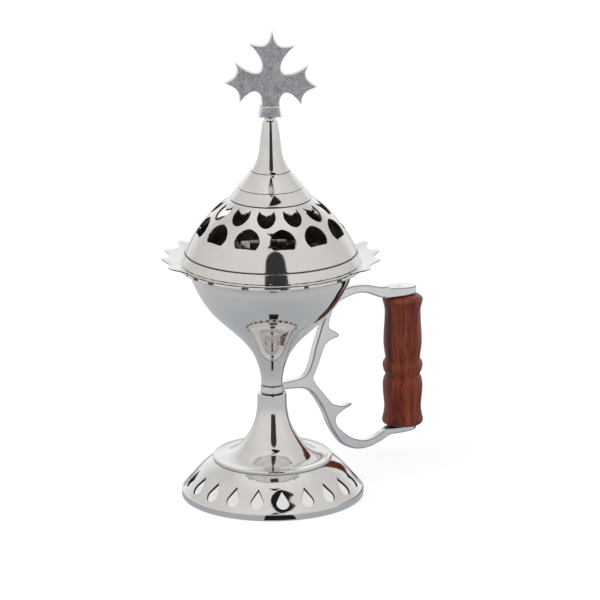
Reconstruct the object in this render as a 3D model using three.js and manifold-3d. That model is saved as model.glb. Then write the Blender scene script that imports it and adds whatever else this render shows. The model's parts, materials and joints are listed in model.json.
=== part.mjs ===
// A standing hand censer of spun and cast nickel silver, about 238 mm tall.
// A pierced foot and a bowl are clamped on either side of the collar of a cast, branching bracket,
// which carries a turned wooden grip. A charcoal pan with two scalloped lugs hangs in the bowl, and a
// pierced domed lid with a spire and a cross stands on the pan.
// Millimetres, +Z up. The handle points along +X. Heights are measured from the surface it stands on.
import * as THREE from 'three';
import { mergeVertices } from 'three/addons/utils/BufferGeometryUtils.js';
import Module from 'manifold-3d';

const wasm = await Module();
wasm.setup();

// Clearances and sheet
const seat = 0.3; // between two pieces of which one rests on the other
const boreClearance = 0.3; // round a shank in its hole
const spunWall = 1.0; // sheet of the foot, the bowl and the lid
const panWall = 0.8; // thinner sheet of the charcoal pan

// Foot
const footRadius = 45.7;
const hemHeight = 3.4;
const hemStep = 0.7; // how far the hem stands out from the skirt
const skirtTop = 18.6;
const skirtBulge = 1.0; // rise of the skirt above a straight cone
const ledgeRadius = 26.0; // inner edge of the skirt's top ledge
const beadRadius = 29.9;
const beadSize = 0.75;
const trumpetTop = 52.7;
const trumpetNeck = 7.3;
const tearCount = 20;
const tearRadius = 3.2;
const tearPoint = 6.6; // from the centre of the round end to the point
const tearHeight = 7.7; // height of the round end's centre above the surface
const tearTurn = 3; // degrees
const tearSteps = 6; // round the round end

// Collar of the bracket, between the foot and the bowl
const collarRadius = 5.7;
const collarHeight = 4.0;

// Bowl
const bowlHeight = 62.7;
const stemRadius = 5.3;
const lipRadius = 46.0;
const lipHeight = 3.6; // from the lip down to the bowl's wall
const lipReach = 5.0; // from the bowl's wall out to the lip
const bowlFloor = 13.5; // height of the flat inside the neck, above the bowl's lower end

// Tie screw through the bowl, the collar and the foot
const screwRadius = 2.5;
const screwHeadRadius = 4.4;
const screwHeadHeight = 2.8;
const washerThickness = 1.0;
const washerRim = 3.0; // from the bore out to the edge
const nutHeight = 4.0;
const nutCorner = 4.6;
const screwTail = 2.6; // thread past the nut

// Charcoal pan
const brimSetback = 0.4; // brim's edge, in from the bowl's lip
const brimThickness = 0.9;
const panDepth = 16.5;
const panFloorRadius = 29.0;
const panClearance = 0.6; // between the pan and the bowl's wall
const panTopRadius = 38.4;
const panFullness = 0.35; // the smaller, the steeper the wall
const lugReach = 9.4; // from the brim's edge to the tips
const lugRise = 2.7; // of the tips above the brim
const lugTips = [-27.5, -9.2, 9.2, 27.5]; // degrees from the middle of a lug
const lugBite = 7.0; // how far the bites between the tips draw in
const lugEnd = 34.5; // degrees from the middle of a lug to where it meets the brim
const lugTurns = [-39, 135.5]; // degrees from the handle to the middle of each lug

// Lid
const lidSetback = 0.5; // lid's rim, in from the pan's brim
const domeHeight = 32.0;
const crownRadius = 20.3;
const crownRun = 12.6; // handle of the dome's curve at its crown, outwards
const crownDrop = 8.2; // and downwards
const rimRun = 5.3; // handle of the dome's curve at its rim, inwards
const rimRise = 11.8; // and upwards
const grooveHeight = 4.8; // line that runs round above the rim
const grooveDepth = 0.5;
const windowCount = 12;
const windowTurn = 0; // degrees, of the lower row
const upperRow = 0.135; // place along the dome's curve, from crown to rim
const lowerRow = 0.435;
const spigotDepth = 3.6; // of the locating ring below the rim
const spigotClearance = 0.7; // between the locating ring and the pan
const bandHeight = 5.5;
const bandTopRadius = 16.2;
const spireHeight = 33.3;
const spireTopRadius = 3.65;

// Finial
const studRadius = 1.25;
const studNutHeight = 2.4;
const studNutCorner = 3.1;
const studTail = 1.6;
const neckRadius = 2.9;
const neckHeight = 1.4;
const crossThickness = 4.2;
const crossBevel = 0.7;
const crossHalfSpan = 22.8; // from the crossing out to a side point
const crossTip = 27.2; // from the crossing up to the top point
const crossFoot = 16.1; // and down to the foot
const crossFootHalf = 5.6;
const crossFootHeight = 5.5; // the thicker block at the foot
const crossFootThickness = 6.6;
const crossFootBevel = 1.3;
const crossLean = 0.031; // the casting is a little crooked: its top leans to the right
const crossDroop = 0.065; // and its right arm hangs
const crossSocket = 6.0;
const crossTurn = -36; // degrees

// Handle
const gripReach = 87.5; // from the stem to the grip's axis
const gripBottom = 18.2;
const gripLength = 69.0;
const gripRodRadius = 2.0;
const rodSetback = 0.2; // its polished ends lie just under the pads' outer faces
const padThickness = 3.2;
const padTipThickness = 1.7;
const padHalfWidth = 5.3;
const padTip = 7.9; // past the grip's axis
const padRoot = 13; // before the grip's axis
const bracketThickness = 3.8;
const bracketBevel = 0.45;

// Facets round a full turn
const roundFacets = 40; // foot, bowl and pan
const lidFacets = 48; // dome, ring and band of the lid
const slimFacets = 24; // spire and grip
const smallFacets = 16; // washers, shanks and heads
const openingSteps = 2; // along each curve of a pierced opening

const TURN = Math.PI * 2;
const radians = THREE.MathUtils.degToRad;
const point = (x, y) => new THREE.Vector2(x, y);

const nickel = new THREE.MeshStandardMaterial({ color: 0xcfcbc6, roughness: 0.12, metalness: 1 });
const bracketNickel = new THREE.MeshStandardMaterial({ color: 0xc2c0be, roughness: 0.22, metalness: 1 });
const innerMetal = new THREE.MeshStandardMaterial({ color: 0x9a968f, roughness: 0.35, metalness: 1 });
const sandCast = new THREE.MeshStandardMaterial({ color: 0x8e8e94, roughness: 0.55, metalness: 0.9 });
const varnishedWood = new THREE.MeshStandardMaterial({ color: 0x6f3020, roughness: 0.25, metalness: 0 });

// Mesh helpers

// Joins the doubled vertices of a three.js shape and drops triangles that have shrunk to nothing.
function weld(geometry) {
  const bare = geometry.clone();
  bare.deleteAttribute('normal');
  bare.deleteAttribute('uv');
  const merged = mergeVertices(bare, 1e-4);
  const index = merged.index.array;
  const kept = [];
  for (let i = 0; i < index.length; i += 3) {
    const [a, b, c] = [index[i], index[i + 1], index[i + 2]];
    if (a !== b && b !== c && a !== c) kept.push(a, b, c);
  }
  merged.setIndex(kept);
  return merged;
}

function signedVolume(geometry) {
  const corner = [0, 1, 2].map(() => new THREE.Vector3());
  const { position } = geometry.attributes;
  const index = geometry.index.array;
  let volume = 0;
  for (let i = 0; i < index.length; i += 3) {
    corner.forEach((vector, k) => vector.fromBufferAttribute(position, index[i + k]));
    volume += corner[0].dot(corner[1].clone().cross(corner[2])) / 6;
  }
  return volume;
}

function solid(geometry) {
  const welded = weld(geometry);
  const triVerts = Uint32Array.from(welded.index.array);
  if (signedVolume(welded) < 0) {
    for (let i = 0; i < triVerts.length; i += 3) {
      [triVerts[i + 1], triVerts[i + 2]] = [triVerts[i + 2], triVerts[i + 1]];
    }
  }
  const vertProperties = Float32Array.from(welded.attributes.position.array);
  return new wasm.Manifold(new wasm.Mesh({ numProp: 3, vertProperties, triVerts }));
}

function namedMesh(name, body, material) {
  const source = body.getMesh();
  const geometry = new THREE.BufferGeometry();
  geometry.setAttribute('position', new THREE.BufferAttribute(Float32Array.from(source.vertProperties), 3));
  geometry.setIndex(new THREE.BufferAttribute(Uint32Array.from(source.triVerts), 1));
  geometry.computeVertexNormals();
  const mesh = new THREE.Mesh(geometry, material);
  mesh.name = name;
  return mesh;
}

// Turns a closed profile of [radius, height] points about the Z axis.
function turned(profile, facets = roundFacets) {
  const closed = [...profile, profile[0]].map(([radius, height]) => point(radius, height));
  return solid(new THREE.LatheGeometry(closed, facets).rotateX(Math.PI / 2));
}

function tube(innerRadius, outerRadius, bottom, top, facets = smallFacets) {
  return turned([[innerRadius, bottom], [outerRadius, bottom], [outerRadius, top], [innerRadius, top]], facets);
}

function rod(radius, bottom, top, facets = smallFacets) {
  return solid(new THREE.CylinderGeometry(radius, radius, top - bottom, facets)
    .rotateX(Math.PI / 2).translate(0, 0, (bottom + top) / 2));
}

// A flat outline standing in the XZ plane, given a thickness along Y.
function standing(shape, thickness, bevel, curveSegments) {
  return solid(new THREE.ExtrudeGeometry(shape, {
    depth: thickness - 2 * bevel,
    bevelEnabled: bevel > 0,
    bevelThickness: bevel,
    bevelSize: bevel,
    bevelOffset: -bevel,
    bevelSegments: 1,
    curveSegments,
  }).translate(0, 0, bevel - thickness / 2).rotateX(Math.PI / 2));
}

const smooth = (points, steps) => new THREE.SplineCurve(points.map(([x, y]) => point(x, y)))
  .getPoints(steps).map((p) => [p.x, p.y]);

// The same line of points, moved sideways by a wall, to the left of its direction of travel.
function offset(points, distance) {
  return points.map((here, i) => {
    const before = points[Math.max(i - 1, 0)];
    const after = points[Math.min(i + 1, points.length - 1)];
    const along = point(after[0] - before[0], after[1] - before[1]).normalize();
    return [here[0] - along.y * distance, here[1] + along.x * distance];
  });
}

// Radius of an open profile at a height, by straight steps between its points.
function radiusAt(profile, height) {
  for (let i = 1; i < profile.length; i += 1) {
    const [low, high] = [profile[i - 1], profile[i]].sort((a, b) => a[1] - b[1]);
    if (height >= low[1] && height <= high[1]) {
      const share = (height - low[1]) / (high[1] - low[1] || 1);
      return low[0] + share * (high[0] - low[0]);
    }
  }
  return profile[profile.length - 1][0];
}

// Cutters set round the axis: an outline square to a sloping wall at [radius, height].
function piercing(shape, radius, height, slope, count, firstTurn, depth) {
  const cutter = new THREE.ExtrudeGeometry(shape, { depth, bevelEnabled: false, curveSegments: openingSteps })
    .translate(0, 0, -depth / 2);
  const cuts = [];
  for (let i = 0; i < count; i += 1) {
    const turn = radians(firstTurn + (360 / count) * i);
    const outward = new THREE.Vector3(Math.cos(turn), Math.sin(turn), 0);
    const across = new THREE.Vector3(-Math.sin(turn), Math.cos(turn), 0);
    const normal = outward.clone().multiplyScalar(Math.cos(slope)).setZ(Math.sin(slope));
    const upSlope = normal.clone().cross(across);
    const place = new THREE.Matrix4().makeBasis(across, upSlope, normal)
      .setPosition(outward.multiplyScalar(radius).setZ(height));
    cuts.push(solid(cutter.clone().applyMatrix4(place)));
  }
  return cuts;
}

const cutAll = (body, cuts) => cuts.reduce((left, cut) => left.subtract(cut), body);

// Foot: a pierced skirt and a trumpet that stands on its ledge

const skirtRim = footRadius - hemStep;
const trumpetUnderside = skirtTop + seat;
const flangeTop = trumpetUnderside + spunWall;

function footSkirt() {
  const run = skirtRim - beadRadius;
  const rise = skirtTop - hemHeight;
  const bow = (share) => [
    skirtRim - run * share + skirtBulge * Math.sin(Math.PI * share) * 0.7,
    hemHeight + rise * share + skirtBulge * Math.sin(Math.PI * share) * 0.7,
  ];
  const slope = [0, 0.25, 0.5, 0.75].map(bow);
  const outer = [[footRadius, 0], [footRadius, hemHeight - 0.2], ...slope, [beadRadius, skirtTop], [ledgeRadius, skirtTop]];
  const inner = offset(slope, spunWall).reverse();
  const profile = [
    ...outer,
    [ledgeRadius, skirtTop - spunWall],
    [beadRadius - 0.3, skirtTop - spunWall],
    ...inner,
    [footRadius - spunWall - hemStep, 0],
  ];
  const tear = new THREE.Shape();
  const touch = Math.acos(tearRadius / tearPoint);
  tear.moveTo(0, tearPoint);
  const arc = new THREE.EllipseCurve(0, 0, tearRadius, tearRadius, Math.PI / 2 + touch, Math.PI / 2 - touch + TURN);
  for (const p of arc.getPoints(tearSteps)) tear.lineTo(p.x, p.y);
  tear.closePath();
  const wallSlope = Math.atan2(run, rise);
  const tearPlace = radiusAt(slope, tearHeight);
  const cuts = piercing(tear, tearPlace, tearHeight, wallSlope, tearCount, tearTurn, 8);
  return namedMesh('foot_skirt', cutAll(turned(profile), cuts), nickel);
}

function footTrumpet() {
  const outer = smooth([
    [trumpetNeck, trumpetTop - 0.4],
    [trumpetNeck + 0.4, trumpetTop - 9],
    [trumpetNeck + 2.5, trumpetTop - 17.5],
    [trumpetNeck + 7.6, trumpetTop - 25.9],
    [trumpetNeck + 12.4, trumpetTop - 30.3],
    [beadRadius - 5.6, flangeTop + 0.25],
    [beadRadius - 2, flangeTop],
  ], 9);
  const bead = [
    [beadRadius - 1.5 * beadSize, flangeTop + beadSize * 0.7],
    [beadRadius - 0.4 * beadSize, flangeTop + beadSize * 0.8],
    [beadRadius, flangeTop + beadSize * 0.1],
    [beadRadius, trumpetUnderside],
  ];
  const inner = offset(outer.slice(0, -2), -spunWall).filter((_, i) => i % 2 === 0).reverse();
  const profile = [
    [screwRadius + boreClearance, trumpetTop],
    [trumpetNeck - 0.4, trumpetTop],
    ...outer,
    ...bead,
    [beadRadius - 4, trumpetUnderside],
    ...inner.slice(0, -1),
    [trumpetNeck - spunWall, trumpetTop - spunWall],
    [screwRadius + boreClearance, trumpetTop - spunWall],
  ];
  return namedMesh('foot_trumpet', turned(profile), nickel);
}

// Bowl, with a solid neck that stands on the collar

const collarBottom = trumpetTop + seat;
const collarTop = collarBottom + collarHeight;
const bowlBottom = collarTop + seat;
const lipTop = bowlBottom + bowlHeight;
const bowlWallTop = lipTop - lipHeight;
const bowlWallRadius = lipRadius - lipReach;
const bowlOuter = smooth([
  [stemRadius, bowlBottom],
  [stemRadius + 0.2, bowlBottom + 3.5],
  [stemRadius + 1.3, bowlBottom + 9],
  [stemRadius + 4.3, bowlBottom + 16],
  [stemRadius + 8.6, bowlBottom + 22.2],
  [stemRadius + 14.3, bowlBottom + 28],
  [bowlWallRadius - 13.6, bowlWallTop - 22.7],
  [bowlWallRadius - 8.2, bowlWallTop - 17],
  [bowlWallRadius - 4.2, bowlWallTop - 11],
  [bowlWallRadius - 1.6, bowlWallTop - 5],
  [bowlWallRadius, bowlWallTop],
], 11);
const bowlInner = offset(bowlOuter, spunWall);

function bowl() {
  const floor = bowlBottom + bowlFloor;
  const lip = [
    [bowlWallRadius + lipReach * 0.45, bowlWallTop + lipHeight * 0.3],
    [lipRadius - 0.3, lipTop - 1.5],
    [lipRadius, lipTop - 0.8],
    [lipRadius - 0.3, lipTop],
    [bowlWallRadius + 1.2, lipTop],
  ];
  const inside = bowlInner.filter(([, height], i) => height > floor + 0.5 && i % 2 === 1).reverse();
  const profile = [
    [screwRadius + boreClearance, bowlBottom],
    ...bowlOuter,
    ...lip,
    ...inside,
    [radiusAt(bowlInner, floor), floor],
    [screwRadius + boreClearance, floor],
  ];
  return namedMesh('bowl', turned(profile), nickel);
}

// Tie screw, its washers and its nut

const washerBore = screwRadius + boreClearance;
const headBottom = bowlBottom + bowlFloor + seat + washerThickness + seat;
const footPlateBottom = trumpetTop - spunWall;
const nutTop = footPlateBottom - seat - washerThickness - seat;
const nutBottom = nutTop - nutHeight;

function fasteners() {
  const head = turned([
    [0, headBottom],
    [screwHeadRadius, headBottom],
    [screwHeadRadius, headBottom + screwHeadHeight * 0.6],
    [screwHeadRadius * 0.6, headBottom + screwHeadHeight],
    [0, headBottom + screwHeadHeight],
  ], smallFacets);
  const slot = solid(new THREE.BoxGeometry(3 * screwHeadRadius, 1.0, 2)
    .translate(0, 0, headBottom + screwHeadHeight));
  const screw = head.add(rod(screwRadius, nutBottom - screwTail, headBottom + 0.5)).subtract(slot);
  const bowlWasherBottom = bowlBottom + bowlFloor + seat;
  const footWasherTop = footPlateBottom - seat;
  const nut = rod(nutCorner, nutBottom, nutTop, 6).subtract(rod(washerBore, nutBottom - 1, nutTop + 1));
  return [
    namedMesh('tie_screw', screw, innerMetal),
    namedMesh('bowl_washer',
      tube(washerBore, washerBore + washerRim, bowlWasherBottom, bowlWasherBottom + washerThickness), innerMetal),
    namedMesh('foot_washer',
      tube(washerBore, washerBore + washerRim, footWasherTop - washerThickness, footWasherTop), innerMetal),
    namedMesh('tie_nut', nut, innerMetal),
  ];
}

// Charcoal pan: a dished insert that hangs in the bowl by its brim, with two scalloped lugs

const brimBottom = lipTop + seat;
const brimTop = brimBottom + brimThickness;
const brimRadius = lipRadius - brimSetback;
const panFloor = brimTop - panDepth;

// Outer radius of the pan's wall at a height: a deep dish that keeps clear of the bowl.
function panRadius(height) {
  const share = (height - panFloor) / (brimBottom - panFloor);
  const dished = panFloorRadius + (panTopRadius - panFloorRadius) * share ** panFullness;
  return Math.min(panTopRadius, dished, radiusAt(bowlInner, height) - panClearance);
}

function lugOutline() {
  const brimInside = brimRadius - 2;
  const tipRadius = brimRadius + lugReach;
  const at = (radius, degrees) => {
    const turn = radians(degrees);
    return [radius * Math.cos(turn), radius * Math.sin(turn)];
  };
  const shape = new THREE.Shape();
  shape.moveTo(...at(brimInside, -lugEnd));
  shape.lineTo(...at(brimRadius, -lugEnd));
  const firstTip = lugTips[0];
  shape.quadraticCurveTo(...at(brimRadius + lugReach * 0.55, (firstTip - lugEnd) / 2 + 1), ...at(tipRadius, firstTip));
  for (let i = 1; i < lugTips.length; i += 1) {
    const middle = (lugTips[i - 1] + lugTips[i]) / 2;
    shape.quadraticCurveTo(...at(tipRadius - lugBite, middle), ...at(tipRadius, lugTips[i]));
  }
  const lastTip = lugTips[lugTips.length - 1];
  shape.quadraticCurveTo(...at(brimRadius + lugReach * 0.55, (lastTip + lugEnd) / 2 - 1), ...at(brimRadius, lugEnd));
  shape.lineTo(...at(brimInside, lugEnd));
  shape.absarc(0, 0, brimInside, radians(lugEnd), radians(-lugEnd), true);
  return shape;
}

function charcoalPan() {
  const wallHeights = [0.25, 0.5, 0.75].map((share) => panFloor + (brimBottom - panFloor) * share);
  const outer = [[panFloorRadius, panFloor], ...wallHeights.map((height) => [panRadius(height), height])];
  const inner = outer.map(([radius, height], i) => [radius - panWall, height + (i ? panWall * 0.5 : panWall)]);
  const dish = turned([
    [0, panFloor],
    ...outer,
    [panTopRadius, brimBottom],
    [brimRadius, brimBottom],
    [brimRadius, brimTop],
    [panTopRadius - panWall, brimTop],
    ...inner.reverse(),
    [0, panFloor + panWall],
  ]);
  const slope = lugRise / lugReach;
  const outerEdge = brimRadius + lugReach + 1;
  const inside = brimRadius - 1.5;
  const flare = turned([
    [inside, brimBottom],
    [brimRadius, brimBottom],
    [outerEdge, brimBottom + slope * (outerEdge - brimRadius)],
    [outerEdge, brimTop + slope * (outerEdge - brimRadius)],
    [brimRadius, brimTop],
    [inside, brimTop],
  ]);
  const shape = lugOutline();
  const depth = 2 * (lugRise + brimThickness + 2);
  const lugs = lugTurns.map((turn) => flare.intersect(solid(
    new THREE.ExtrudeGeometry(shape, { depth, bevelEnabled: false, curveSegments: 5 })
      .translate(0, 0, brimBottom - 1).rotateZ(radians(turn)),
  )));
  return namedMesh('charcoal_pan', dish.add(lugs[0]).add(lugs[1]), nickel);
}

// Lid: pierced dome, locating ring, band and spire

const lidBottom = brimTop + seat;
const lidRadius = brimRadius - lidSetback;
const crownTop = lidBottom + domeHeight;
const domeCurve = new THREE.CubicBezierCurve(
  point(crownRadius, crownTop),
  point(crownRadius + crownRun, crownTop - crownDrop),
  point(lidRadius - rimRun, lidBottom + rimRise),
  point(lidRadius, lidBottom),
);

// Opening of the upper row: a round-bottomed bud with two horns and a notch between them.
function budOpening() {
  const shape = new THREE.Shape();
  shape.moveTo(0, 1.5);
  shape.quadraticCurveTo(-1.2, 2.6, -2.2, 2.9);
  shape.quadraticCurveTo(-3.0, 3.6, -3.6, 5.0);
  shape.quadraticCurveTo(-4.2, 3.2, -4.6, 1.2);
  shape.bezierCurveTo(-4.9, -1.8, -2.8, -4.7, 0, -4.7);
  shape.bezierCurveTo(2.8, -4.7, 4.9, -1.8, 4.6, 1.2);
  shape.quadraticCurveTo(4.2, 3.2, 3.6, 5.0);
  shape.quadraticCurveTo(3.0, 3.6, 2.2, 2.9);
  shape.quadraticCurveTo(1.2, 2.6, 0, 1.5);
  return shape;
}

// Opening of the lower row: a round arch on a short flat sill.
function archOpening() {
  const shape = new THREE.Shape();
  shape.moveTo(-4.2, -5.7);
  shape.lineTo(4.2, -5.7);
  shape.quadraticCurveTo(5.8, -4.6, 6.6, -1.6);
  shape.bezierCurveTo(6.4, 2.0, 3.8, 4.9, 0, 5.7);
  shape.bezierCurveTo(-3.8, 4.9, -6.4, 2.0, -6.6, -1.6);
  shape.quadraticCurveTo(-5.8, -4.6, -4.2, -5.7);
  return shape;
}

function lidDome() {
  const grooveStart = domeCurve.getPoints(60).findIndex((p) => p.y < lidBottom + grooveHeight) / 60;
  const stops = [0, 0.2, 0.4, 0.6, 0.8, 1];
  const outer = stops.map((share) => domeCurve.getPoint(share * grooveStart)).map((p) => [p.x, p.y]);
  const edge = outer[outer.length - 1];
  const groove = [
    [edge[0] - grooveDepth, edge[1] - grooveDepth],
    [radiusAt(domeCurve.getPoints(60).map((p) => [p.x, p.y]), edge[1] - 2 * grooveDepth), edge[1] - 2 * grooveDepth],
  ];
  const inner = offset([...outer, [lidRadius, lidBottom]], -spunWall);
  const profile = [
    [studRadius + boreClearance, crownTop],
    ...outer,
    ...groove,
    [lidRadius, lidBottom],
    [lidRadius - spunWall, lidBottom],
    ...inner.slice(1, -1).reverse(),
    [crownRadius - 0.4, crownTop - spunWall],
    [studRadius + boreClearance, crownTop - spunWall],
  ];
  const row = (shape, share, turn) => {
    const place = domeCurve.getPoint(share);
    const along = domeCurve.getTangent(share);
    return piercing(shape, place.x, place.y, Math.atan2(along.x, -along.y), windowCount, turn, 7);
  };
  const cuts = [
    ...row(budOpening(), upperRow, windowTurn + 180 / windowCount),
    ...row(archOpening(), lowerRow, windowTurn),
  ];
  return namedMesh('lid_dome', cutAll(turned(profile, lidFacets), cuts), nickel);
}

function lidParts() {
  const ringRadius = panRadius(lidBottom - spigotDepth) - panWall - spigotClearance;
  const flangeBottom = lidBottom + 0.1;
  const flangeRadius = lidRadius - spunWall - 2 * seat;
  const ring = turned([
    [ringRadius - spunWall, lidBottom - spigotDepth],
    [ringRadius, lidBottom - spigotDepth],
    [ringRadius, flangeBottom],
    [flangeRadius, flangeBottom],
    [flangeRadius, flangeBottom + spunWall * 0.8],
    [ringRadius - spunWall, flangeBottom + spunWall * 0.8],
  ], lidFacets);
  const bandBottom = crownTop + seat;
  const bandTop = bandBottom + bandHeight;
  const band = turned([
    [crownRadius, bandBottom],
    [bandTopRadius, bandTop],
    [bandTopRadius - 1.6 * spunWall, bandTop],
    [crownRadius - 1.6 * spunWall, bandBottom],
  ], lidFacets);
  const spireBottom = bandTop + seat;
  const spireTop = spireBottom + spireHeight;
  const outer = smooth([
    [bandTopRadius, spireBottom],
    [bandTopRadius - 3.9, spireBottom + 4.6],
    [bandTopRadius - 7.2, spireBottom + 8.8],
    [spireTopRadius + 3.6, spireTop - 21.3],
    [spireTopRadius + 2.4, spireTop - 18],
    [spireTopRadius + 1.8, spireTop - 14.2],
    [spireTopRadius + 1.2, spireTop - 8.5],
    [spireTopRadius, spireTop],
  ], 11);
  const ringLine = outer.findIndex(([, height]) => height > spireBottom + 8);
  outer.splice(ringLine, 0,
    [outer[ringLine - 1][0] - 0.2, outer[ringLine - 1][1] + 0.1],
    [outer[ringLine - 1][0] - 0.7, outer[ringLine - 1][1] + 0.5]);
  const wall = [
    [bandTopRadius - 1.6 * spunWall, spireBottom],
    [bandTopRadius - 7.2 - 1.6 * spunWall, spireBottom + 7.6],
    [spireTopRadius + 2.4 - spunWall, spireTop - 18],
    [spireTopRadius + 1.2 - spunWall, spireTop - 8.5],
    [spireTopRadius + 1.1 - spunWall, spireTop - 2],
    [studRadius + boreClearance, spireTop - 2],
  ];
  const spire = turned([
    ...outer,
    [studRadius + boreClearance, spireTop],
    ...wall.reverse(),
  ], slimFacets);
  return { ring, band, spire, spireTop };
}

// Finial: stud with its washer and nut inside the lid, neck ring and cross

// A cross whose three free arms end in a point between two spurs, on a flared foot.
// Right half, from the top point down to the foot: corners, joined by hollow curves.
// Across it is measured in half spans, and upwards from the crossing in millimetres.
const crossCurves = [
  { bend: [[0.07, 17.5], [0.24, 19.0]], end: [0.496, 20.2] },
  { bend: [[0.018, 11.2], [0.105, -1.6]], end: [0.798, 10.6] },
  { bend: [[0.658, 5.2], [0.772, 2.6]], end: [1, 0] },
  { bend: [[0.741, -1.9], [0.658, -4.0]], end: [0.667, -9.4] },
  { bend: [[0.404, -0.6], [0.18, -2.2]], end: [0.189, crossFootHeight - crossFoot] },
];

function crossOutline() {
  const place = (side) => ([across, up]) => {
    const x = side * across * crossHalfSpan;
    return [x + crossLean * (up + crossFoot), up - crossDroop * x];
  };
  const [right, left] = [place(1), place(-1)];
  const shape = new THREE.Shape();
  shape.moveTo(...right([0, crossTip]));
  for (const { bend, end } of crossCurves) {
    shape.bezierCurveTo(...right(bend[0]), ...right(bend[1]), ...right(end));
  }
  shape.lineTo(crossFootHalf - crossFootBevel, -crossFoot);
  shape.lineTo(-crossFootHalf + crossFootBevel, -crossFoot);
  // The left half is the right half walked back from the foot to the top point.
  const starts = [[0, crossTip], ...crossCurves.map(({ end }) => end)];
  shape.lineTo(...left(starts[crossCurves.length]));
  for (let i = crossCurves.length - 1; i >= 0; i -= 1) {
    const [first, second] = crossCurves[i].bend;
    shape.bezierCurveTo(...left(second), ...left(first), ...left(starts[i]));
  }
  return shape;
}

function finial(spireTop) {
  const bore = studRadius + boreClearance;
  const neckBottom = spireTop + seat;
  const neckTop = neckBottom + neckHeight;
  const crossBottom = neckTop + seat;
  const crossCentre = crossBottom + crossFoot;
  const block = new THREE.Shape([
    point(-crossFootHalf, -crossFoot),
    point(crossFootHalf, -crossFoot),
    point(crossFootHalf * 0.82, crossFootHeight - crossFoot),
    point(-crossFootHalf * 0.82, crossFootHeight - crossFoot),
  ]);
  const cross = standing(crossOutline(), crossThickness, crossBevel, 7)
    .add(standing(block, crossFootThickness, crossFootBevel, 1))
    .subtract(rod(bore, -crossFoot - 1, crossSocket - crossFoot, 12));
  const washerTop = crownTop - spunWall - seat;
  const nutUnderWasher = washerTop - washerThickness - seat;
  const nut = rod(studNutCorner, nutUnderWasher - studNutHeight, nutUnderWasher, 6)
    .subtract(rod(bore, nutUnderWasher - studNutHeight - 1, nutUnderWasher + 1, 12));
  const crossMesh = namedMesh('cross_finial', cross, sandCast);
  crossMesh.position.z = crossCentre;
  crossMesh.rotation.z = radians(crossTurn);
  return [
    crossMesh,
    namedMesh('finial_neck', tube(bore, neckRadius, neckBottom, neckTop), nickel),
    namedMesh('finial_stud',
      rod(studRadius, nutUnderWasher - studNutHeight - studTail, crossBottom + crossSocket - seat, 12), innerMetal),
    namedMesh('stud_washer', tube(bore, bore + 2.6, washerTop - washerThickness, washerTop), innerMetal),
    namedMesh('stud_nut', nut, innerMetal),
  ];
}

// Handle: cast bracket with its collar, two branches with thorn spurs and two pads, and the grip

const gripTop = gripBottom + gripLength;
const lowPadTop = gripBottom - seat;
const lowPadBottom = lowPadTop - padThickness;
const highPadBottom = gripTop + seat;
const highPadTop = highPadBottom + padThickness;

function bracketOutline() {
  // The branches are drawn for one reach and one length of grip, and follow both.
  const across = gripReach / 87.5;
  const up = gripLength / 69;
  const middle = (collarBottom + collarTop) / 2;
  const near = ([x, dz]) => point(x * across, middle + dz * up); // measured from the collar
  const low = ([dx, dz]) => point(gripReach + dx * across, gripBottom + dz * up); // from the grip's lower end
  const high = ([dx, dz]) => point(gripReach + dx * across, gripTop + dz * up); // from its upper end
  const shape = new THREE.Shape();
  shape.moveTo(4, middle - 1.9);
  shape.splineThru([
    ...[[12, -2.5], [20, -3.8], [25, -5.9], [28.7, -9.3], [31.7, -13.6], [34.3, -18.8], [36.9, -25.6]].map(near),
    ...[[-46.8, 4.2], [-41.8, -1.9], [-34.5, -6], [-26, -7.3], [-18, -6.1], [-11, -4.1]].map(low),
    point(gripReach - 6, lowPadBottom),
  ]);
  shape.lineTo(gripReach - 3, lowPadBottom);
  shape.lineTo(gripReach - 3, lowPadTop);
  shape.lineTo(gripReach - 10.6, lowPadTop);
  shape.splineThru([
    ...[[-15.5, -2.3], [-20, -3.8], [-24, -4.3], [-28, -3.9], [-32, -2.6], [-37.7, 0.6], [-42.2, 4.7]].map(low),
    ...[[42.8, -28.9], [41.5, -26], [42.2, -23.2], [46.8, -20.9], [52.4, -18.9]].map(near),
  ]);
  shape.lineTo(...near([52.6, -17.7]).toArray());
  shape.splineThru([
    [47.6, -19.2], [43.2, -18.8], [39.7, -17.2], [36.8, -14.4], [33.2, -9.2], [29.9, -4.6], [28.2, 0],
    [28.6, 3.2], [29.8, 7], [31.7, 11.8], [33.1, 14.4], [35.2, 16.6], [38.8, 18], [44.2, 18.6],
  ].map(near));
  shape.lineTo(...near([44.4, 19.9]).toArray());
  shape.splineThru([
    ...[[41.6, 22], [38.6, 23.7], [37.7, 26.2]].map(near),
    ...[[-48.9, -0.7], [-46.9, 2.9], [-43.3, 5.4], [-38.2, 6.7], [-33.2, 7.3], [-28.2, 6.9], [-24.2, 5.6],
      [-20.3, 3.8], [-16.5, 2], [-12.5, 0.6]].map(high),
  ]);
  shape.lineTo(gripReach - 11.5, highPadBottom);
  shape.lineTo(gripReach - 3, highPadBottom);
  shape.lineTo(gripReach - 3, highPadTop);
  shape.lineTo(gripReach - 5, highPadTop);
  shape.splineThru([
    ...[[-8.5, 4.3], [-12, 5.7], [-16.5, 7.1], [-23.2, 9.2], [-27.5, 10.2], [-32, 10.8], [-37.5, 10.9],
      [-42.5, 9.6], [-47.1, 6.4], [-50.5, 1.6]].map(high),
    ...[[34.8, 29.2], [33.1, 25.8], [30.4, 20.4], [28.2, 15.6], [26.9, 11], [25.4, 6], [23.2, 3.4],
      [20.2, 1.9], [16, 1.4], [10, 1.5], [4, 1.9]].map(near),
  ]);
  return shape;
}

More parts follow.
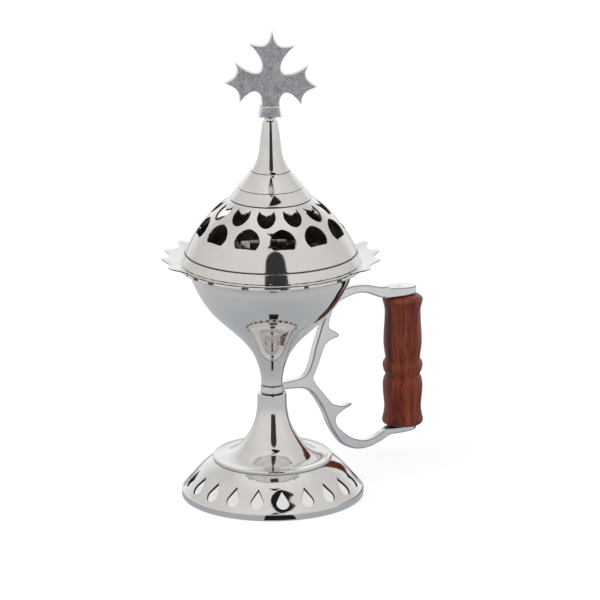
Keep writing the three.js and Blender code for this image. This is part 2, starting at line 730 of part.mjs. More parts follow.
function padOutline() {
  const shape = new THREE.Shape();
  shape.moveTo(-padRoot, -1.6);
  shape.splineThru([
    point(-padRoot + 4.5, -0.62 * padHalfWidth), point(-2.5, -0.98 * padHalfWidth),
    point(2.5, -0.97 * padHalfWidth), point(padTip - 1.6, -0.64 * padHalfWidth), point(padTip, 0),
    point(padTip - 1.6, 0.64 * padHalfWidth), point(2.5, 0.97 * padHalfWidth),
    point(-2.5, 0.98 * padHalfWidth), point(-padRoot + 4.5, 0.62 * padHalfWidth), point(-padRoot, 1.6),
  ]);
  return shape;
}

// A leaf-shaped pad against an end of the grip, thinner towards its tip on its outer side.
function pad(seatHeight, outward) {
  const side = new THREE.Shape([
    point(-padRoot - 1, 0),
    point(padTip + 1, 0),
    point(padTip + 1, outward * padTipThickness),
    point(-padTip, outward * padThickness),
    point(-padRoot - 1, outward * padThickness),
  ]);
  const plan = solid(new THREE.ExtrudeGeometry(padOutline(), {
    depth: 4 * padThickness, bevelEnabled: false, curveSegments: 2,
  }).translate(0, 0, -2 * padThickness));
  return plan.intersect(standing(side, 4 * padHalfWidth, 0, 1)).translate([gripReach, 0, seatHeight]);
}

function handleBracket() {
  const collar = rod(collarRadius, collarBottom, collarTop, slimFacets);
  const arms = standing(bracketOutline(), bracketThickness, bracketBevel, 1);
  const rodBore = rod(gripRodRadius + boreClearance, lowPadBottom - 1, highPadTop + 1)
    .translate([gripReach, 0, 0]);
  const body = arms.add(collar).add(pad(lowPadTop, -1)).add(pad(highPadBottom, 1))
    .subtract(rod(screwRadius + boreClearance, collarBottom - 2, collarTop + 2))
    .subtract(rodBore);
  return namedMesh('handle_bracket', body, bracketNickel);
}

function woodGrip() {
  const bore = gripRodRadius + boreClearance;
  // Turned profile, [radius, height above the grip's lower end].
  const turning = [
    [7.4, 0], [9.8, 0.6], [10.55, 2.2], [9.9, 5.6], [9.45, 9.6], [10.0, 16], [10.25, 21], [9.8, 24.4],
    [8.9, 26.6], [9.8, 29], [10.3, 31.6], [9.9, 33.5], [8.95, 34.9], [9.7, 41.5], [9.85, 46],
    [9.25, 57.5], [9.3, 61.6], [10.15, 65.4], [10.35, 66.8], [8.6, gripLength - 0.7], [5.2, gripLength],
  ];
  const grip = turned([
    [bore, 0],
    ...turning,
    [bore, gripLength],
  ], slimFacets);
  const mesh = namedMesh('wood_grip', grip, varnishedWood);
  mesh.position.set(gripReach, 0, gripBottom);
  return mesh;
}

function gripRod() {
  const mesh = namedMesh('grip_rod',
    rod(gripRodRadius, lowPadBottom + rodSetback, highPadTop - rodSetback), bracketNickel);
  mesh.position.x = gripReach;
  return mesh;
}

// Assembly

const stand = new THREE.Group();
stand.add(footSkirt(), footTrumpet(), handleBracket(), bowl(), ...fasteners(), woodGrip(), gripRod());

const lid = new THREE.Group();
const { ring, band, spire, spireTop } = lidParts();
lid.add(
  lidDome(),
  namedMesh('lid_locating_ring', ring, nickel),
  namedMesh('lid_band', band, nickel),
  namedMesh('lid_spire', spire, nickel),
  ...finial(spireTop),
);

const group = new THREE.Group();
group.add(stand, charcoalPan(), lid);

// The origin is on the surface that it stands on, under the middle of its outer box.
group.updateMatrixWorld(true);
const middle = new THREE.Box3().setFromObject(group, true).getCenter(new THREE.Vector3());
group.position.set(-middle.x, -middle.y, 0);

export default group;
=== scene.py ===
"""A standing hand censer: polished nickel plate, a dull cast cross and a varnished wooden grip.

The frame is in metres with +Z up and the handle along +X. Profiles here are written in millimetres.
"""

import json
import math

import bmesh
import bpy
import numpy as np
from mathutils import Matrix, Vector
from mathutils.geometry import interpolate_bezier

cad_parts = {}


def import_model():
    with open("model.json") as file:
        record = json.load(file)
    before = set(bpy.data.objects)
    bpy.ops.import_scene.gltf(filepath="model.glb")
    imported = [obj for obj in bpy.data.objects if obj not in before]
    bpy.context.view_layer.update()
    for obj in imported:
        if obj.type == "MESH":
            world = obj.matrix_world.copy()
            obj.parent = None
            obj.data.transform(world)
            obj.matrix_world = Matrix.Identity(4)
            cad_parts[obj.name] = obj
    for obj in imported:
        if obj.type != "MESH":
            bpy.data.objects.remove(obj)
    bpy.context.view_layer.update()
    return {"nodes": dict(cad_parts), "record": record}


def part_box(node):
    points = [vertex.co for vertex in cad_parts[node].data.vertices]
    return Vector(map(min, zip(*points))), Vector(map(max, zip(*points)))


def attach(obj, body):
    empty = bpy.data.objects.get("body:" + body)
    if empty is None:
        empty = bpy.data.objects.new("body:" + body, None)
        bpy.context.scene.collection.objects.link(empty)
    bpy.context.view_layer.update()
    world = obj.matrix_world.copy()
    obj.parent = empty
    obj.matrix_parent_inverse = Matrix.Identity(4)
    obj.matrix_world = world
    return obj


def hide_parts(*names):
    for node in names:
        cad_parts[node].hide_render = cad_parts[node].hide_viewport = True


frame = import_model()

MM = 0.001
SEAT = 0.3  # gap that each piece keeps to the one it rests on
FINE = 240  # facets round a turned piece
SHEET = 1.0  # wall of foot, bowl and lid
SCREW_BORE = 2.8  # radius of the holes for the tie screw
STUD_BORE = 1.55  # and of those for the finial's stud
CROWN = 20.3  # radius at which the dome meets the band above it
SPAN = 6  # points that a smooth curve gets from one control point to the next
NEXT_TO_NOTHING = 1e-6  # a radius or a length that counts as zero
ZERO_GUARD = 1e-9  # stands in for a length of zero in a division
SHARP_TURN = math.radians(35)  # an edge that turns more is shaded sharp


def low(node):
    """Height of a node's lowest point, in millimetres."""
    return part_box(node)[0].z / MM


def high(node):
    """Height of its highest point."""
    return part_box(node)[1].z / MM


def radius_of(node):
    """Radius of a turned node."""
    lowest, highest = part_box(node)
    return (highest.y - lowest.y) / 2 / MM


AXIS = (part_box("bowl")[0].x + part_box("bowl")[1].x) / 2  # the stem
AXIS_Y = (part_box("bowl")[0].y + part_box("bowl")[1].y) / 2  # pieces are made at y = 0 and moved here
GRIP_X = (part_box("wood_grip")[0].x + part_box("wood_grip")[1].x) / 2
GRIP_REACH = (GRIP_X - AXIS) / MM


# Profiles and outlines: lists of (across, up) points


def through(points, steps=SPAN):
    """A smooth curve through the points."""
    made = []
    for i in range(len(points) - 1):
        p0, p1, p2, p3 = (
            Vector(points[min(max(k, 0), len(points) - 1)]) for k in (i - 1, i, i + 1, i + 2)
        )
        lean_in, lean_out = (p2 - p0) / 2, (p3 - p1) / 2
        for k in range(steps):
            t = k / steps
            made.append(
                tuple(
                    (2 * p1 - 2 * p2 + lean_in + lean_out) * t**3
                    + (-3 * p1 + 3 * p2 - 2 * lean_in - lean_out) * t**2
                    + lean_in * t
                    + p1
                )
            )
    return [*made, tuple(points[-1])]


def outline(start, *pieces, steps=8):
    """Points along joined curves: two points are a quadratic's bend and end, three a cubic's."""
    made = [tuple(start)]
    for piece in pieces:
        here = Vector(made[-1]).to_3d()
        ends = [Vector(p).to_3d() for p in piece]
        if len(ends) == 2:
            bend, end = ends
            ends = [here + (bend - here) * 2 / 3, end + (bend - end) * 2 / 3, end]
        made += [(p.x, p.y) for p in interpolate_bezier(here, *ends, steps + 1)[1:]]
    return made


def offset(points, distance):
    """The same line moved sideways, to the left of its direction of travel."""
    moved = []
    for i, here in enumerate(points):
        along = Vector(points[min(i + 1, len(points) - 1)]) - Vector(points[max(i - 1, 0)])
        along.normalize()
        moved.append((here[0] - along.y * distance, here[1] + along.x * distance))
    return moved


def rounded(points, radius):
    """A closed profile with its sharp corners rounded off."""
    steps, least_turn = 4, math.radians(30)
    most = 0.45  # of a side, that the rounding of one corner can take
    made = []
    count = len(points)
    for i, here in enumerate(points):
        here = Vector(here)
        before = Vector(points[i - 1]) - here
        after = Vector(points[(i + 1) % count]) - here
        if min(before.length, after.length) < NEXT_TO_NOTHING:
            continue
        turn = math.pi - before.angle(after)
        if turn < least_turn:
            made.append(tuple(here))
            continue
        setback = min(radius * math.tan(turn / 2), before.length * most, after.length * most)
        start, end = here + before.normalized() * setback, here + after.normalized() * setback
        for k in range(steps + 1):
            t = k / steps
            made.append(tuple(start * (1 - t) ** 2 + here * 2 * t * (1 - t) + end * t * t))
    return made


def radius_at(profile, height):
    """Radius of an open profile at a height."""
    for (r1, z1), (r2, z2) in zip(profile, profile[1:]):
        if min(z1, z2) <= height <= max(z1, z2):
            return r1 + (height - z1) / ((z2 - z1) or 1) * (r2 - r1)
    return profile[-1][0]


# Meshes


def in_scene(name, data):
    """A new object of the scene that holds the given mesh, curve, lamp or camera."""
    made = bpy.data.objects.new(name, data)
    bpy.context.scene.collection.objects.link(made)
    return made


def new_object(name, mesh_maker):
    """An object whose bmesh the given function fills, shaded smooth between its sharp edges."""
    bm = bmesh.new()
    mesh_maker(bm)
    bmesh.ops.recalc_face_normals(bm, faces=bm.faces)
    mesh = bpy.data.meshes.new(name)
    bm.to_mesh(mesh)
    bm.free()
    mesh.shade_smooth()
    mesh.set_sharp_from_angle(angle=SHARP_TURN)
    return in_scene(name, mesh)


def turned(name, profile, facets=FINE, axis=AXIS, edge=None):
    """Turns a closed profile about a vertical axis. edge(turn, radius, height) can move its points."""

    def fill(bm):
        rings = []
        for r, z in profile:
            if r < NEXT_TO_NOTHING:
                rings.append([bm.verts.new((axis, 0, z * MM))] * facets)
                continue
            ring = []
            for k in range(facets):
                turn = math.tau * k / facets
                rr, zz = edge(turn, r, z) if edge else (r, z)
                reach = rr * MM
                place = (axis + reach * math.cos(turn), reach * math.sin(turn), zz * MM)
                ring.append(bm.verts.new(place))
            rings.append(ring)
        for i, ring in enumerate(rings):
            following = rings[(i + 1) % len(rings)]
            for k in range(facets):
                around = [ring[k], ring[k - 1], following[k - 1], following[k]]
                corners = list(dict.fromkeys(around))
                if len(corners) > 2:
                    bm.faces.new(corners)

    return new_object(name, fill)


def evaluated_mesh(piece):
    """The mesh that a curve, or a mesh with its modifiers, comes to."""
    bpy.context.view_layer.update()
    depsgraph = bpy.context.evaluated_depsgraph_get()
    return bpy.data.meshes.new_from_object(piece.evaluated_get(depsgraph))


def apply_modifiers(piece):
    """Replaces a piece's mesh with what its modifiers make of it."""
    made = evaluated_mesh(piece)
    piece.modifiers.clear()
    piece.data = made


def combine(piece, other, operation):
    """Cuts other from piece, or joins it to piece, and removes other."""
    step = piece.modifiers.new(operation, "BOOLEAN")
    step.operation, step.solver, step.object = operation, "EXACT", other
    apply_modifiers(piece)
    bpy.data.objects.remove(other)


def cutters(shape, radius, height, slope, count, first_turn, depth, flare=0.0):
    """Prisms set round the stem, square to a wall that slopes at [radius, height].

    With a flare they widen outwards there, which leaves a chamfer of about that width round each hole.
    """
    inmost, outmost = (-depth / 2, 1.0), (depth / 2, 1.0)  # how far out, and how much grown
    stations = [inmost, outmost]
    if flare:
        reach = max(math.hypot(u, v) for u, v in shape)
        stations = [inmost, (-flare, 1.0), (depth / 2, 1.0 + (depth / 2 + flare) / reach)]

    def fill(bm):
        for k in range(count):
            turn = math.radians(first_turn) + math.tau * k / count
            outward = Vector((math.cos(turn), math.sin(turn), 0))
            across = Vector((-math.sin(turn), math.cos(turn), 0))
            normal = outward * math.cos(slope) + Vector((0, 0, math.sin(slope)))
            up = normal.cross(across)
            base = Vector((AXIS, 0, height * MM)) + outward * radius * MM
            rings = [
                [
                    bm.verts.new(base + ((across * u + up * v) * grown + normal * out) * MM)
                    for u, v in shape
                ]
                for out, grown in stations
            ]
            bm.faces.new(rings[0])
            bm.faces.new(rings[-1])
            for near, far in zip(rings, rings[1:]):
                for i in range(len(shape)):
                    bm.faces.new((near[i - 1], near[i], far[i], far[i - 1]))

    return new_object("cutters", fill)


def unit(vectors):
    """The vectors at length 1; a zero vector stays."""
    return vectors / np.maximum(np.linalg.norm(vectors, axis=1), ZERO_GUARD)[:, None]


def shade_as_turned(piece, profile, inner=(), cut=0):
    """Gives a pierced shell the exact normals of its profile.

    Faces on the inner stretches get the material in slot 1, and cut edges the one in the slot named.
    """
    soft_turn, sharp_turn = math.radians(30), math.radians(40)
    wall_agreement = 0.9  # of a face's normal with the profile's, from which it belongs to the wall
    mesh = piece.data
    start = np.array(profile)
    end = np.roll(start, -1, axis=0)
    along = end - start
    length = np.maximum(np.linalg.norm(along, axis=1), ZERO_GUARD)
    flat = unit(np.stack([along[:, 1], -along[:, 0]], axis=1))
    area = np.sum(start[:, 0] * end[:, 1] - end[:, 0] * start[:, 1])
    flat *= np.sign(area)
    flat_before = np.roll(flat, 1, axis=0)
    blended = unit(flat + flat_before)
    soft = np.sum(flat * flat_before, axis=1) > math.cos(soft_turn)
    at_start = np.where(soft[:, None], blended, flat)
    at_end = np.where(np.roll(soft, -1)[:, None], np.roll(blended, -1, axis=0), flat)

    def nearest(places):
        """Segment, share along it and direction round the stem of each place."""
        turn = np.arctan2(places[:, 1], places[:, 0] - AXIS)
        spot = np.stack([np.hypot(places[:, 0] - AXIS, places[:, 1]), places[:, 2]], axis=1) / MM
        best = np.full(len(places), np.inf)
        segment = np.zeros(len(places), int)
        share = np.zeros(len(places))
        for i in range(len(start)):
            t = np.clip((spot - start[i]) @ along[i] / length[i] ** 2, 0, 1)
            gap = np.linalg.norm(spot - start[i] - t[:, None] * along[i], axis=1)
            closer = gap < best
            best[closer], segment[closer], share[closer] = gap[closer], i, t[closer]
        return segment, share, turn

    def normals(segment, share, turn):
        plane = at_start[segment] * (1 - share)[:, None] + at_end[segment] * share[:, None]
        outward = plane[:, 0]
        return unit(np.stack([outward * np.cos(turn), outward * np.sin(turn), plane[:, 1]], axis=1))

    def vectors_of(elements, key):
        values = np.zeros(len(elements) * 3)
        elements.foreach_get(key, values)
        return values.reshape(-1, 3)

    vertex_normal = normals(*nearest(vectors_of(mesh.vertices, "co")))
    segment, share, turn = nearest(vectors_of(mesh.polygons, "center"))
    facing = vectors_of(mesh.polygons, "normal")
    on_wall = np.sum(normals(segment, share, turn) * facing, axis=1) > wall_agreement
    loop_vertex = np.zeros(len(mesh.loops), int)
    mesh.loops.foreach_get("vertex_index", loop_vertex)
    custom = np.zeros((len(mesh.loops), 3))
    inside = set(inner)
    for polygon, keep, index in zip(mesh.polygons, on_wall, segment):
        polygon.use_smooth = True
        if keep:
            loops = slice(polygon.loop_start, polygon.loop_start + polygon.loop_total)
            custom[loops] = vertex_normal[loop_vertex[loops]]
        if int(index) in inside:
            polygon.material_index = 1
        elif not keep:
            polygon.material_index = cut
    mesh.set_sharp_from_angle(angle=sharp_turn)
    mesh.normals_split_custom_set(custom)


# Materials


class Recipe:
    """A small helper that adds and links the shader nodes of a material or a world."""

    def __init__(self, owner, shader="Principled BSDF", place="Object"):
        owner.use_nodes = True
        self.owner = owner
        self.tree = owner.node_tree
        self.shader = self.tree.nodes[shader]
        self.place = self.node("ShaderNodeTexCoord").outputs[place]

    def feed(self, target, value):
        """Links another node's output to the target, or sets the target to a plain value."""
        if isinstance(value, bpy.types.NodeSocket):
            self.tree.links.new(value, target)
        else:
            target.default_value = value

    def node(self, kind, **settings):
        """A new node. A setting is one of its properties, or an input written with _ for a blank."""
        made = self.tree.nodes.new(kind)
        for key, value in settings.items():
            if hasattr(made, key):
                setattr(made, key, value)
            else:
                self.feed(made.inputs[key.replace("_", " ")], value)
        return made

    def finished(self, **inputs):
        """Feeds the shader's inputs and gives back what the recipe is for."""
        for key, value in inputs.items():
            self.feed(self.shader.inputs[key.replace("_", " ")], value)
        return self.owner

    def stretched(self, scale):
        return self.node("ShaderNodeMapping", Vector=self.place, Scale=scale).outputs["Vector"]

    def noise(self, scale, detail, roughness=0.5, vector=None):
        made = self.node(
            "ShaderNodeTexNoise",
            Vector=vector or self.place,
            Scale=scale,
            Detail=detail,
            Roughness=roughness,
        )
        return made.outputs["Fac"]

    def ranged(self, value, start, end, low_in=0.3, high_in=0.7):
        """The value's range from low_in to high_in, stretched from start to end."""
        made = self.node(
            "ShaderNodeMapRange", Value=value, From_Min=low_in, From_Max=high_in, To_Min=start, To_Max=end
        )
        return made.outputs["Result"]

    def ramp(self, value, *stops):
        made = self.node("ShaderNodeValToRGB", Fac=value)
        ramp = made.color_ramp
        while len(ramp.elements) < len(stops):
            ramp.elements.new(0.5)
        for element, (position, color) in zip(ramp.elements, stops):
            element.position, element.color = position, (*color, 1)
        return made.outputs["Color"]

    def math(self, operation, first, second=0.0, kind="ShaderNodeMath"):
        """A sum on numbers, or with kind ShaderNodeVectorMath on vectors."""
        made = self.node(kind, operation=operation)
        for target, value in zip(made.inputs, (first, second)):
            self.feed(target, value)
        return made.outputs["Value"]

    def mixed(self, first, second, factor=1.0, blend="MIX"):
        made = self.node(
            "ShaderNodeMix", data_type="RGBA", blend_type=blend, Factor=factor, A=first, B=second
        )
        return made.outputs["Result"]

    def bump(self, height, distance, normal=None):
        made = self.node("ShaderNodeBump", Strength=1.0, Distance=distance, Height=height)
        if normal:
            self.feed(made.inputs["Normal"], normal)
        return made.outputs["Normal"]

    def turning_lines(self):
        """Noise that runs in rings round the stem."""
        apart = self.node("ShaderNodeSeparateXYZ", Vector=self.place).outputs
        across = self.math("SUBTRACT", apart["X"], AXIS)
        along = self.math("SUBTRACT", apart["Y"], AXIS_Y)
        squares = [self.math("MULTIPLY", part, part) for part in (across, along)]
        radius = self.math("SQRT", self.math("ADD", *squares))
        joined = self.node("ShaderNodeCombineXYZ", X=radius, Z=apart["Z"])
        return self.noise(900.0, detail=3.0, vector=joined.outputs["Vector"])


def new_material(name):
    return Recipe(bpy.data.materials.new(name))


def polished_nickel():
    """Mirror-polished plate on spun sheet: slight waves, fine turning lines and thin haze."""
    m = new_material("polished_nickel")
    haze = m.noise(60.0, detail=6.0)
    waves = m.bump(m.noise(55.0, detail=1.0), 0.00006)
    return m.finished(
        Base_Color=m.ramp(haze, (0.35, (0.80, 0.78, 0.76)), (0.7, (0.86, 0.85, 0.84))),
        Metallic=1.0,
        Roughness=m.ranged(haze, 0.035, 0.09),
        Normal=m.bump(m.turning_lines(), 0.000004, normal=waves),
    )


def unpolished_inside():
    """Inside of the lid: spun brass without plate, browned by smoke."""
    m = new_material("unpolished_inside")
    stain = m.noise(90.0, detail=6.0, roughness=0.65)
    soot, brown, bare = (0.03, 0.022, 0.017), (0.10, 0.075, 0.055), (0.26, 0.21, 0.16)
    return m.finished(
        Base_Color=m.ramp(stain, (0.35, soot), (0.5, brown), (0.65, bare)),
        Metallic=0.8,
        Roughness=m.ranged(stain, 0.38, 0.6),
        Normal=m.bump(m.turning_lines(), 0.00002),
    )


def painted_shade_line():
    """Painted shade in turned lines, under edges and on the raw edges of pierced holes: a dark, mottled
    colour that stands in for the shade there.
    """
    m = new_material("painted_shade_line")
    shade_mottle = m.noise(700.0, detail=4.0)
    return m.finished(
        Base_Color=m.ramp(shade_mottle, (0.35, (0.035, 0.034, 0.034)), (0.7, (0.16, 0.155, 0.15))),
        Metallic=0.9,
        Roughness=m.ranged(shade_mottle, 0.3, 0.5),
        Normal=m.bump(shade_mottle, 0.00003),
    )


def bracket_nickel():
    """Plated casting, buffed by hand: softer and wavier than spun pieces, with painted shade darkening
    its edges.
    """
    m = new_material("bracket_nickel")
    buff = m.noise(110.0, detail=5.0)
    colour = m.ramp(buff, (0.35, (0.86, 0.855, 0.85)), (0.7, (0.94, 0.935, 0.93)))
    pointed = m.node("ShaderNodeNewGeometry").outputs["Pointiness"]
    # Painted shade: the sharper the edge, the darker its colour.
    painted_edge_shade = m.ranged(pointed, 1.0, 0.3, 0.505, 0.54)
    return m.finished(
        Base_Color=m.mixed(colour, painted_edge_shade, blend="MULTIPLY"),
        Metallic=1.0,
        Roughness=m.ranged(buff, 0.14, 0.28),
        Normal=m.bump(m.noise(160.0, detail=2.0), 0.00008),
    )


def cast_metal():
    """Dull casting with a fine, even sand grain and darker specks."""
    m = new_material("cast_metal")
    grain = m.noise(1500.0, detail=3.0, roughness=0.7)
    patches = m.noise(260.0, detail=4.0)
    both = m.math("ADD", m.math("MULTIPLY", grain, 0.75), m.math("MULTIPLY", patches, 0.25))
    speck, plain, bright = (0.27, 0.28, 0.31), (0.47, 0.48, 0.52), (0.70, 0.70, 0.73)
    return m.finished(
        Base_Color=m.ramp(both, (0.38, speck), (0.5, plain), (0.62, bright)),
        Metallic=0.85,
        Roughness=m.ranged(grain, 0.42, 0.6),
        Normal=m.bump(both, 0.00025),
    )


def fastener_metal():
    """Plain turned steel."""
    m = new_material("fastener_metal")
    wear = m.noise(400.0, detail=5.0)
    return m.finished(
        Base_Color=m.ramp(wear, (0.35, (0.42, 0.41, 0.38)), (0.7, (0.62, 0.61, 0.58))),
        Metallic=1.0,
        Roughness=m.ranged(wear, 0.28, 0.45),
        Normal=m.bump(m.turning_lines(), 0.00002),
    )


def varnished_wood():
    """Red-brown hardwood with long dark pores under a clear gloss varnish."""
    m = new_material("varnished_wood")
    figure = m.noise(1.0, detail=6.0, roughness=0.6, vector=m.stretched((170, 170, 14)))
    pores = m.noise(1.0, detail=2.0, roughness=0.4, vector=m.stretched((1500, 1500, 60)))
    dark_pores = m.ranged(pores, 0.55, 1.0, 0.36, 0.46)
    colour = m.ramp(
        figure,
        (0.32, (0.055, 0.008, 0.006)),
        (0.46, (0.17, 0.024, 0.013)),
        (0.60, (0.30, 0.062, 0.022)),
        (0.74, (0.10, 0.012, 0.009)),
    )
    return m.finished(
        Base_Color=m.mixed(colour, dark_pores, blend="MULTIPLY"),
        Roughness=m.ranged(figure, 0.35, 0.5),
        Specular_IOR_Level=0.15,
        Coat_Weight=0.3,
        Coat_Roughness=0.06,
        Normal=m.bump(pores, 0.00003),
    )


MATERIALS = {
    make.__name__: make()
    for make in (polished_nickel, bracket_nickel, cast_metal, fastener_metal, varnished_wood)
}
LID_INSIDE = unpolished_inside()
# A dark colour painted where shade falls: turned lines, the gap under the brim, lug edges and hole walls.
PAINTED_SHADE = painted_shade_line()


def mark(piece, slot, chosen):
    """Gives a material slot to the faces that chosen(radius, height, normal) picks, in millimetres."""
    for face in piece.data.polygons:
        radius = math.hypot(face.center.x - AXIS, face.center.y) / MM
        if chosen(radius, face.center.z / MM, face.normal):
            face.material_index = slot


def dress(piece, body, slot, *nodes, others=()):
    """Finishes a piece: its place, its materials, the body it rides on and the nodes it stands for."""
    piece.data.transform(Matrix.Translation((0, AXIS_Y, 0)))
    for material in (MATERIALS[slot], *others):
        piece.data.materials.append(material)
    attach(piece, body)
    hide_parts(*nodes)


# Foot


def foot():
    """The pierced skirt, and the trumpet that stands on the skirt's ledge."""
    base = radius_of("foot_skirt")
    top = high("foot_skirt")
    bead, bead_size = radius_of("foot_trumpet"), 0.75
    hem, hem_step, bulge, ledge = 3.4, 0.7, 0.7, 26.0
    bulge_place = 1.6  # above 1, the slope bulges most in its upper half
    steps = 24
    rim = base - hem_step
    run, rise = rim - bead, top - hem

    def bow(share):
        lift = bulge * math.sin(math.pi * share**bulge_place)
        return rim - run * share + lift, hem + rise * share + lift

    slope = [bow(k / steps) for k in range(steps)]
    profile = rounded(
        [
            (base, 0),
            (base, hem - 0.2),
            (rim + 0.05, hem - 0.05),
            *slope,
            (bead, top),
            (ledge, top),
            (ledge, top - SHEET),
            (bead - 0.3, top - SHEET),
            *reversed(offset(slope, SHEET)),
            (base - SHEET - hem_step, 0),
        ],
        0.25,
    )
    tear_radius, tear_point, tear_height = 3.2, 6.6, 7.7
    touch = math.acos(tear_radius / tear_point)
    arc = 18
    turns = [math.pi / 2 + touch + (math.tau - 2 * touch) * k / arc for k in range(arc + 1)]
    tear = [(0, tear_point)]
    tear += [(tear_radius * math.cos(turn), tear_radius * math.sin(turn)) for turn in turns]
    skirt = turned("foot_skirt_fine", profile)
    tears = cutters(
        tear,
        radius_at(slope, tear_height),
        tear_height,
        slope=math.atan2(run, rise),
        count=20,
        first_turn=3,
        depth=8,
        flare=0.35,
    )
    combine(skirt, tears, "DIFFERENCE")
    # The teardrops' cut walls get slot 1: painted shade on the hole walls.
    shade_as_turned(skirt, profile, cut=1)
    dress(skirt, "stand", "polished_nickel", "foot_skirt", others=[PAINTED_SHADE])

    top = high("foot_trumpet")
    under = low("foot_trumpet")
    flange = under + SHEET
    neck = 7.3
    outer = through(
        [
            (neck, top - 0.4),
            (neck + 0.4, top - 9),
            (neck + 2.5, top - 17.5),
            (neck + 7.6, top - 25.9),
            (neck + 12.4, top - 30.3),
            (bead - 5.6, flange + 0.25),
            (bead - 2, flange),
        ]
    )
    roll = through(
        [
            (bead - 1.5 * bead_size, flange + bead_size * 0.35),
            (bead - 0.6 * bead_size, flange + bead_size * 0.85),
            (bead, flange + bead_size * 0.1),
            (bead, under),
        ],
        steps=5,
    )
    flare = outer[1 : -2 * SPAN]  # what is left without the flat flange
    profile = [
        (SCREW_BORE, top),
        (neck - 0.4, top),
        *outer,
        *roll,
        (bead - 4, under),
        *reversed(offset(flare, -SHEET)),
        (neck - SHEET, top - SHEET),
        (SCREW_BORE, top - SHEET),
    ]
    dress(turned("foot_trumpet_fine", profile), "stand", "polished_nickel", "foot_trumpet")


# Bowl and charcoal pan

LIP_TOP = high("bowl")
LIP = radius_of("bowl")


def bowl():
    """The bowl, down to the neck that stands on the bracket's collar."""
    bottom = low("bowl")
    stem, lip_height, lip_reach, floor = 5.3, 3.6, 5.0, bottom + 13.5
    wall_top, wall = LIP_TOP - lip_height, LIP - lip_reach
    outer = through(
        [
            (stem, bottom),
            (stem + 0.2, bottom + 3.5),
            (stem + 1.3, bottom + 9),
            (stem + 4.0, bottom + 16),
            (stem + 8.4, bottom + 22.2),
            (stem + 14.1, bottom + 28),
            (wall - 12.7, wall_top - 22.7),
            (wall - 8.1, wall_top - 17),
            (wall - 4.5, wall_top - 11),
            (wall - 1.7, wall_top - 5),
            (wall, wall_top),
            (wall + lip_reach * 0.45, wall_top + lip_height * 0.3),
            (LIP - 0.4, LIP_TOP - 1.6),
            (LIP, LIP_TOP - 0.8),
            (LIP - 0.3, LIP_TOP),
        ]
    )
    up_to_wall_top = outer[: 10 * SPAN + 1]
    inner = [p for p in offset(up_to_wall_top, SHEET) if p[1] > floor + 0.3]
    profile = rounded(
        [
            (SCREW_BORE, bottom),
            *outer,
            (wall + 1.2, LIP_TOP),
            *reversed(inner),
            (inner[0][0] - 0.2, floor),
            (SCREW_BORE, floor),
        ],
        0.3,
    )
    made = turned("bowl_fine", profile)
    dash_waves, spacing_waves, dash_level = 29, 17, 0.7
    lowest_dash, highest_dash, dash_reach = -1.2, -0.1, 0.8

    def gap_shadow_dashes(radius, height, normal):
        """Painted shadow: short dark dashes round the lip, in the narrow gap under the pan's brim."""
        turn = math.atan2(normal.y, normal.x)
        uneven = math.sin(dash_waves * turn) + 0.6 * math.sin(spacing_waves * turn + 1)
        on_lip = radius > LIP - dash_reach and lowest_dash < height - LIP_TOP < highest_dash
        return on_lip and uneven > dash_level

    # Slot 1 paints the shadow dashes in the gap under the brim.
    mark(made, 1, gap_shadow_dashes)
    dress(made, "stand", "polished_nickel", "bowl", others=[PAINTED_SHADE])


BRIM = LIP - 0.4
BRIM_UNDER = LIP_TOP + SEAT
BRIM_TOP = BRIM_UNDER + 0.9
LUG_REACH = 9.4


def lug_edge():
    """Outer radius of the pan's brim at a turn, with its two scalloped lugs."""
    bite, blunt, end_turn = 6.4, 2.0, 34.5
    shoulder_drop, tip_rise, flank_share = 0.9, 0.1, 0.55
    middles = (math.radians(-39.2), math.radians(134.8))
    tips = (-27.5, -9.2, 9.2, 27.5)

    def at(radius, degrees):
        turn = math.radians(degrees)
        return radius * math.cos(turn), radius * math.sin(turn)

    tip, flank = BRIM + LUG_REACH, BRIM + LUG_REACH * flank_share
    shoulder = tip - shoulder_drop
    half_way = (end_turn + tips[-1]) / 2 - 1
    pieces = []
    for i, here in enumerate(tips):
        bend = at(tip - bite, (tips[i - 1] + here) / 2) if i else at(flank, -half_way)
        pieces.append((bend, at(shoulder, here - blunt)))
        pieces.append((at(tip + tip_rise, here), at(shoulder, here + blunt)))
    pieces.append((at(flank, half_way), at(BRIM, end_turn)))
    line = outline(at(BRIM, -end_turn), *pieces, steps=24)
    turns = [math.atan2(y, x) for x, y in line]
    radii = [math.hypot(x, y) for x, y in line]

    def radius(turn):
        from_lugs = [(turn - middle + math.pi) % math.tau - math.pi for middle in middles]
        return float(np.interp(min(from_lugs, key=abs), turns, radii, left=BRIM, right=BRIM))

    return radius


